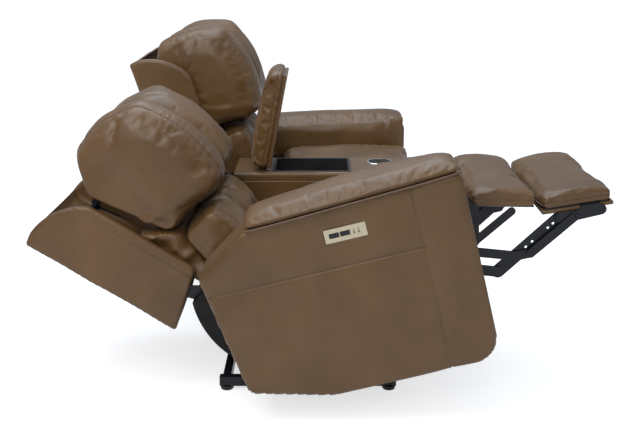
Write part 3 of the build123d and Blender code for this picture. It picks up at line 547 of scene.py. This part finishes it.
def lumbar_cushion():
    """Cushion below the pillow, with the same middle channel."""
    piece = cover_of("left_lumbar_cushion", voxel=0.008)
    ends = (SEAT_MID - CUSHION_SEAM, SEAT_MID + CUSHION_SEAM)

    def channel(place, normal):
        groove = -0.02 * exp(-((place.x - SEAT_MID) / 0.022) ** 2)
        return groove * smooth(along_back(place)[1], -0.03, 0.03)

    def sewn(place, normal):
        return (near_seam(place, ends) or along_back(place)[1] < -0.03
                or abs(place.x - SEAT_MID) < CHANNEL_HOLD)

    displace(piece, channel)
    puff(piece, cap=0.01, sewn=sewn)
    wrinkle(piece, stretch=(8, 6, 14), amount=0.004, seed=7.0,
            where=lambda place, normal: smooth(along_back(place)[1], -0.02, 0.03))
    end_seams(piece, ends, depth=0.005)
    padded_seats(piece, "lumbar_cushion", "inner_back")


def back_gusset():
    """Bunched leather that closes the back between the pillow, the lumbar cushion and the shell."""
    bpy.ops.object.select_all(action="DESELECT")
    bpy.ops.mesh.primitive_cube_add(size=1)
    piece = bpy.context.active_object
    piece.name = "left_back_gusset"
    low, high = SEAT_MID - GUSSET_HALF, SEAT_MID + GUSSET_HALF
    for vertex in piece.data.vertices:
        up, front = GUSSET_CORNERS[vertex.co.y > 0, vertex.co.z > 0]
        place = BACK_PIVOT + BACK_UP * up + BACK_FRONT * front
        vertex.co = Vector((high if vertex.co.x > 0 else low, place.y, place.z))
    start(piece)
    bpy.ops.object.mode_set(mode="EDIT")
    bpy.ops.mesh.select_all(action="SELECT")
    bpy.ops.mesh.normals_make_consistent(inside=False)
    bpy.ops.mesh.bevel(offset=0.022, segments=4)
    bpy.ops.object.mode_set(mode="OBJECT")
    remesh(piece, voxel=0.007, rounds=6)
    puff(piece, cap=0.012, sewn=lambda place, normal: abs(normal.x) < 0.3)
    wrinkle(piece, stretch=(4, 10, 16), amount=0.009, seed=12.0,
            where=lambda place, normal: smooth(abs(place.x - SEAT_MID), 0.16, 0.23))
    for gusset in both_seats(piece, "back_gusset", "inner_back"):
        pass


def footrest_board():
    """Leather-wrapped board behind the outer foot pad, proud of its steel panel all round."""
    low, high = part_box("left_footrest_pad")
    bpy.ops.object.select_all(action="DESELECT")
    bpy.ops.mesh.primitive_cube_add(
        size=1, location=(SEAT_MID, high[1] + BOARD_SETBACK, (low[2] + high[2]) / 2),
        scale=(high[0] - low[0] + BOARD_SPREAD[0], BOARD_GAUGE, high[2] - low[2] + BOARD_SPREAD[1]))
    piece = bpy.context.active_object
    piece.name = "left_footrest_board"
    bpy.ops.object.transform_apply(location=True, rotation=True, scale=True)
    bpy.ops.object.mode_set(mode="EDIT")
    bpy.ops.mesh.select_all(action="SELECT")
    bpy.ops.mesh.bevel(offset=0.0035, segments=4)
    bpy.ops.object.mode_set(mode="OBJECT")
    both_seats(piece, "footrest_board", "footrest")


def arm_welt():
    """Piped welt along the outer hem of the arm pad."""
    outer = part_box("left_arm_pad")[1][0]
    line = bpy.data.curves.new("left_arm_welt", "CURVE")
    line.dimensions = "3D"
    line.bevel_depth = WELT_RADIUS
    line.bevel_resolution = 3
    line.use_fill_caps = True
    path = line.splines.new("NURBS")
    path.points.add(len(WELT_POINTS) - 1)
    for control, (share, inset) in zip(path.points, WELT_POINTS):
        y = ARM_FRONT_Y + (ARM_REAR_Y - ARM_FRONT_Y) * share
        z = ARM_TOP_Z[0] + (ARM_TOP_Z[1] - ARM_TOP_Z[0]) * share
        control.co = (outer - inset, y, z, 1)
    path.order_u = 3
    path.use_endpoint_u = True
    piece = bpy.data.objects.new("left_arm_welt", line)
    bpy.context.collection.objects.link(piece)
    start(piece)
    bpy.ops.object.convert(target="MESH")
    both_seats(bpy.context.active_object, "arm_welt", "seat", PIPING)


def seat_flap():
    """Leather that runs from under the seat cushion back below the lumbar cushion."""
    bpy.ops.object.select_all(action="DESELECT")
    bpy.ops.mesh.primitive_grid_add(x_subdivisions=60, y_subdivisions=40, size=1)
    piece = bpy.context.active_object
    piece.name = "left_seat_flap"
    path = [Vector((0, y + SHIFT_Y, z)) for y, z in FLAP_PATH]
    spans = [(end - begin).length for begin, end in zip(path, path[1:])]
    length = sum(spans)
    for vertex in piece.data.vertices:
        along, over = vertex.co.x, (vertex.co.y + 0.5) * length
        number = 0
        while over > spans[number] + 1e-6 and number < len(spans) - 1:
            over -= spans[number]
            number += 1
        place = path[number].lerp(path[number + 1], over / spans[number])
        dip = 0.005 * noise.noise(Vector((along * 6, place.y * 22, 1.3)))
        vertex.co = Vector((SEAT_MID + along * FLAP_WIDTH, place.y, place.z - abs(dip)))
    even_out(piece, rounds=6)
    thicken(piece, LEATHER_GAUGE)
    for flap in both_seats(piece, "seat_flap", "seat"):
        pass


def seat_cushion():
    """Seat with a crowned middle panel between two end seams."""
    piece = cover_of("left_seat_cushion", voxel=0.009)
    ends = (SEAT_MID - CUSHION_SEAM, SEAT_MID + CUSHION_SEAM)
    puff(piece, cap=0.009, sewn=lambda place, normal: near_seam(place, ends) or place.z < 0.437)
    wrinkle(piece, stretch=(7, 6, 7), amount=0.004, seed=2.0,
            where=lambda place, normal: smooth(place.z, 0.45, 0.48))
    end_seams(piece, ends, depth=0.005)
    padded_seats(piece, "seat_cushion", "seat")


def foot_pad(name, body, seed, wrap):
    """Footrest pad with a seam round its sides, drawn out over the edges of its panel."""
    piece = cover_of(f"left_{name}", voxel=0.007)
    low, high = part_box(f"left_{name}")
    back = high[1]
    middle = (low[2] + high[2]) / 2
    for vertex in piece.data.vertices:
        vertex.co.x = SEAT_MID + (vertex.co.x - SEAT_MID) * PAD_SPREAD[0]
        vertex.co.z = middle + (vertex.co.z - middle) * PAD_SPREAD[1]
        if vertex.co.y > back - PAD_HEM:
            vertex.co.y += wrap

    def sewn(place, normal):
        return place.y > back - PAD_HEM or abs(place.y - back + PAD_SEAM) < 0.003

    puff(piece, cap=0.008, sewn=sewn)
    wrinkle(piece, stretch=(11, 6, 7), amount=0.003, seed=seed,
            where=lambda place, normal: smooth(back - place.y, 0.012, 0.03))
    seam(piece, (0, back - PAD_SEAM, 0), (0, 1, 0), anywhere, depth=0.004, half=0.005)
    padded_seats(piece, name, body)


def arm_panel():
    """Arm box with one long seam, one upright seam, and slightly stuffed panels between them."""
    piece = cover_of("left_arm_panel", voxel=0.008)
    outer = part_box("left_arm_panel")[1][0]

    def stuffing(place, normal):
        if normal.x < 0.7:
            return 0
        gap = abs(place.y - ARM_SEAM_Y)
        if place.y > ARM_SEAM_Y:
            gap = min(gap, abs(place.z - ARM_SEAM_Z))
        return 0.005 * (1 - exp(-gap / 0.03))

    def outside(place, normal):
        return place.x > outer - 0.03

    def outside_rear(place, normal):
        return place.y > ARM_SEAM_Y and outside(place, normal)

    displace(piece, stuffing)
    wrinkle(piece, stretch=(4, 5, 5), amount=0.0016, seed=3.0,
            where=lambda place, normal: smooth(normal.x, 0.6, 0.9))
    seam(piece, (0, 0, ARM_SEAM_Z), (0, 0, 1), outside_rear, depth=0.003, half=0.0035)
    seam(piece, (0, ARM_SEAM_Y, 0), (0, 1, 0), outside, depth=0.003, half=0.0035)
    padded_seats(piece, "arm_panel", "seat")


def arm_pad():
    """Arm top that rolls over the inner side, with its front and its inner edge rounded."""
    piece = cover_of("left_arm_pad", voxel=0.006)
    low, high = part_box("left_arm_pad")
    inner, front, hem = low
    top = high[2]
    start(piece)
    for vertex in piece.data.vertices:
        x, y, z = vertex.co
        near_front = y < front + 0.07 and z > top - 0.075
        inner_end = x < inner + 0.06 and y < front + 0.16 and z > hem + 0.02
        inner_top = x < inner + 0.05 and z > top - 0.12
        vertex.select = near_front or inner_end or inner_top
    bpy.ops.object.mode_set(mode="EDIT")
    bpy.ops.mesh.vertices_smooth(factor=0.5, repeat=45)
    bpy.ops.object.mode_set(mode="OBJECT")

    def roll(place, normal):
        rise = smooth(place.z, hem, hem + 0.06) * smooth(-place.z, -top + 0.01, -top + 0.08)
        return 0.011 * max(0, -normal.x) * rise * smooth(place.y, front + 0.06, front + 0.14)

    displace(piece, roll)
    puff(piece, cap=0.006, sewn=lambda place, normal: normal.z < -0.7 or abs(normal.x) > 0.9)
    wrinkle(piece, stretch=(9, 5, 9), amount=0.0025, seed=5.0,
            where=lambda place, normal: smooth(normal.z, -0.2, 0.3))
    padded_seats(piece, "arm_pad", "seat")


def back_shell():
    """Shell round the back, with one seam down each side."""
    piece = cover_of("left_back_shell", voxel=0.007)
    even_out(piece, rounds=6)
    wrinkle(piece, stretch=(4, 4, 4), amount=0.002, seed=9.0, where=lambda place, normal: 1)
    seam(piece, BACK_PIVOT + BACK_FRONT * SHELL_SEAM, BACK_FRONT,
         lambda place, normal: abs(normal.x) > 0.8, depth=0.003, half=0.0035)
    padded_seats(piece, "back_shell", "back")


def console_lid():
    """Lid pad, shaped lying flat and then put back as it stands open."""
    piece = cover_of("console_lid_pad", voxel=0.006)
    opened = Matrix.Translation(HOLDER["lid"]["pos_m"]) @ Matrix.Rotation(radians(LID_OPEN), 4, "X")
    piece.data.transform(opened.inverted())
    puff(piece, cap=0.008, sewn=lambda place, normal: place.z < 0.012 or abs(place.z - LID_SEAM) < 0.003)
    wrinkle(piece, stretch=(10, 6, 8), amount=0.002, seed=6.0,
            where=lambda place, normal: smooth(place.z, 0.02, 0.04))
    seam(piece, (0, 0, LID_SEAM), (0, 0, 1), anywhere, depth=0.004, half=0.004)
    piece.data.transform(opened)
    finish_piece(piece, "lid", LEATHER, "console_lid_pad")


def rear_apron():
    """Black cloth stretched round the rear edges of the seat's side boards."""
    low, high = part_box("left_rear_apron")
    first, middle, last = (Vector((0, y + SHIFT_Y, z)) for y, z in APRON_ARC)
    chord, rise = last - first, middle - first
    across_chord = Vector((1, 0, 0)).cross(chord)
    reach = (rise.length_squared - rise.dot(chord)) / (2 * rise.dot(across_chord))
    centre = first + chord / 2 + across_chord * reach
    begin, end = first - centre, last - centre
    radius = begin.length + APRON_GAUGE / 2
    sweep = begin.angle(end)
    if (Matrix.Rotation(sweep, 3, "X") @ begin - end).length > 0.001:
        sweep = -sweep
    bpy.ops.object.select_all(action="DESELECT")
    bpy.ops.mesh.primitive_grid_add(x_subdivisions=48, y_subdivisions=28, size=1)
    piece = bpy.context.active_object
    piece.name = "left_rear_apron_cloth"
    for vertex in piece.data.vertices:
        along, over = vertex.co.x + 0.5, vertex.co.y + 0.5
        slack = 0.004 * min(1, 4 * along, 4 - 4 * along) * noise.noise(Vector((along * 5, over * 2.5, 3.7)))
        spoke = Matrix.Rotation(sweep * over, 3, "X") @ begin.normalized() * (radius - abs(slack))
        vertex.co = centre + spoke + Vector((low[0] + (high[0] - low[0]) * along, 0, 0))
    thicken(piece, APRON_GAUGE, offset=0)
    for cloth in both_seats(piece, "rear_apron_cloth", "seat", BLACK_CLOTH, "rear_apron"):
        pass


def seat_straps():
    """Webbing straps over the seat opening, each sagging a little."""
    low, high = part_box("left_seat_webbing")
    length, pitch = high[1] - low[1], (high[0] - low[0] - STRAP_WIDTH) / (STRAPS - 1)
    straps = []
    for number in range(STRAPS):
        bpy.ops.object.select_all(action="DESELECT")
        bpy.ops.mesh.primitive_grid_add(x_subdivisions=6, y_subdivisions=40, size=1)
        strap = bpy.context.active_object
        for vertex in strap.data.vertices:
            over = vertex.co.y + 0.5
            sag = STRAP_SAG * 4 * over * (1 - over)
            vertex.co = Vector((low[0] + STRAP_WIDTH / 2 + number * pitch + vertex.co.x * STRAP_WIDTH,
                                low[1] + over * length, (low[2] + high[2]) / 2 - sag))
        straps.append(strap)
    for strap in straps:
        strap.select_set(True)
    bpy.context.view_layer.objects.active = straps[0]
    bpy.ops.object.join()
    piece = straps[0]
    piece.name = "left_seat_straps"
    thicken(piece, high[2] - low[2], offset=0)
    for webbing in both_seats(piece, "seat_straps", "seat", WEBBING, "seat_webbing"):
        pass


def console_box():
    """Leather over the console box, with a seam round it below the top."""
    piece = cover_of("console_carcass", voxel=0.006, cut_above=CONSOLE_TOP + 0.0002)

    def outside(place, normal):
        upright = max(abs(normal.x), -normal.y) > 0.5
        return upright and (abs(place.x) > 0.12 or place.y < -0.3 + SHIFT_Y)

    wrinkle(piece, stretch=(6, 5, 6), amount=0.0014, seed=11.0,
            where=lambda place, normal: smooth(abs(normal.x), 0.6, 0.9))
    seam(piece, (0, 0, CONSOLE_TOP - 0.03), (0, 0, 1), outside, depth=0.0025, half=0.003)
    finish_piece(piece, "base", LEATHER, "console_carcass")


def cup_liner(x):
    """Ribbed bright sleeve inside one cup: every third line of its wall is drawn in."""
    centre = Vector((x, CUP_Y, CONSOLE_TOP + 0.001 - CUP_SLEEVE / 2))
    bpy.ops.object.select_all(action="DESELECT")
    bpy.ops.mesh.primitive_cylinder_add(vertices=CUP_LINES, radius=CUP_INNER, depth=CUP_SLEEVE,
                                        end_fill_type="NOTHING", location=centre)
    piece = bpy.context.active_object
    piece.name = "cup_liner_left" if x > 0 else "cup_liner_right"
    bpy.ops.object.transform_apply(location=True, rotation=True, scale=True)
    for vertex in piece.data.vertices:
        spoke = (vertex.co - centre).to_2d()
        number = round(spoke.angle_signed(Vector((1, 0))) / radians(360 / CUP_LINES))
        if number % 3 == 0:
            vertex.co.xy = centre.xy + spoke * CUP_RIB
    thicken(piece, CUP_GAUGE)
    finish_piece(piece, "base", BRIGHT_STEEL)


def hinge_lug(x):
    """Bright steel lug that holds one end of the lid's hinge pin."""
    pivot = HOLDER["lid"]["pos_m"]
    bpy.ops.object.select_all(action="DESELECT")
    bpy.ops.mesh.primitive_cube_add(size=1, location=(x, pivot[1], (CONSOLE_TOP + pivot[2]) / 2 + 0.0025),
                                    scale=(0.004, 0.013, pivot[2] - CONSOLE_TOP + 0.009))
    piece = bpy.context.active_object
    piece.name = "hinge_lug_left" if x > 0 else "hinge_lug_right"
    bpy.ops.object.transform_apply(location=True, rotation=True, scale=True)
    bpy.ops.object.mode_set(mode="EDIT")
    bpy.ops.mesh.select_all(action="DESELECT")
    bpy.ops.object.mode_set(mode="OBJECT")
    for edge in piece.data.edges:
        ends = [piece.data.vertices[index].co for index in edge.vertices]
        edge.select = all(place.z > pivot[2] for place in ends) and abs(ends[0].x - ends[1].x) > 0.001
    bpy.ops.object.mode_set(mode="EDIT")
    bpy.ops.mesh.bevel(offset=0.006, segments=5)
    bpy.ops.object.mode_set(mode="OBJECT")
    edges = piece.modifiers.new("edges", "BEVEL")
    edges.width = 0.0006
    edges.segments = 2
    apply_all(piece)
    finish_piece(piece, "base", BRIGHT_STEEL)


headrest_pillow()
lumbar_cushion()
seat_cushion()
foot_pad("mid_pad", "mid_panel", seed=1.0, wrap=PANEL_WRAP)
foot_pad("footrest_pad", "footrest", seed=8.0, wrap=0.0)
arm_panel()
arm_pad()
back_shell()
console_lid()
console_box()
back_gusset()
seat_flap()
footrest_board()
arm_welt()
rear_apron()
seat_straps()
for lug_x in (LUG_X, -LUG_X):
    hinge_lug(lug_x)
for cup_x in (CUP_X, -CUP_X):
    cup_liner(cup_x)


# Stage


def seen(made):
    """1 for the rays that see a background directly, in metal or through glass."""
    path = node(made, "ShaderNodeLightPath")
    first = node(made, "ShaderNodeMath", operation="MAXIMUM")
    second = node(made, "ShaderNodeMath", operation="MAXIMUM")
    link(made, path.outputs["Is Camera Ray"], first.inputs[0])
    link(made, path.outputs["Is Glossy Ray"], first.inputs[1])
    link(made, first.outputs["Value"], second.inputs[0])
    link(made, path.outputs["Is Transmission Ray"], second.inputs[1])
    return second.outputs["Value"]


def floor():
    """White floor that reaches past the top of the picture and keeps a pale shadow."""
    bpy.ops.object.select_all(action="DESELECT")
    bpy.ops.mesh.primitive_plane_add(size=FLOOR_SIZE, location=(0, 0, -0.0005))
    ground = bpy.context.active_object
    ground.name = "floor"
    white, shader = material("studio_white", 0.9)
    shader.inputs["Base Color"].default_value = (0.6, 0.6, 0.6, 1)
    shader.inputs["Specular IOR Level"].default_value = 0
    shader.inputs["Emission Color"].default_value = (1, 1, 1, 1)
    lift = node(white, "ShaderNodeMath", operation="MULTIPLY")
    lift.inputs[1].default_value = FLOOR_LIFT
    link(white, seen(white), lift.inputs[0])
    link(white, lift.outputs["Value"], shader.inputs["Emission Strength"])
    paint(ground, white)


def sky():
    """Soft room light, brightest and coolest overhead."""
    world = bpy.data.worlds.new("studio")
    world.use_nodes = True
    way = node(world, "ShaderNodeTexCoord").outputs["Generated"]
    split = node(world, "ShaderNodeSeparateXYZ")
    link(world, way, split.inputs["Vector"])
    shade = ramp(world, split.outputs["Z"], 0.0, 1.0, (SKY_LOW, SKY_HIGH))
    link(world, shade, world.node_tree.nodes["Background"].inputs["Color"])
    bpy.context.scene.world = world


def stage():
    """Floor, sky, softboxes and the camera."""
    floor()
    sky()
    for place, size, power, colour in SOFTBOXES:
        lamp = bpy.data.lights.new("softbox", "AREA")
        lamp.size = size
        lamp.energy = power
        lamp.color = colour
        holder = bpy.data.objects.new("softbox", lamp)
        holder.location = place
        holder.rotation_euler = (Vector((0, 0, 0.5)) - Vector(place)).to_track_quat("-Z", "Y").to_euler()
        bpy.context.collection.objects.link(holder)
    eye = bpy.data.cameras.new("camera")
    eye.lens = CAMERA_LENS
    camera = bpy.data.objects.new("camera", eye)
    camera.location = CAMERA_PLACE
    camera.rotation_euler = (radians(90 - CAMERA_PITCH), 0, radians(-90))
    bpy.context.collection.objects.link(camera)
    bpy.context.scene.camera = camera
    bpy.context.scene.view_settings.view_transform = "Standard"


stage()
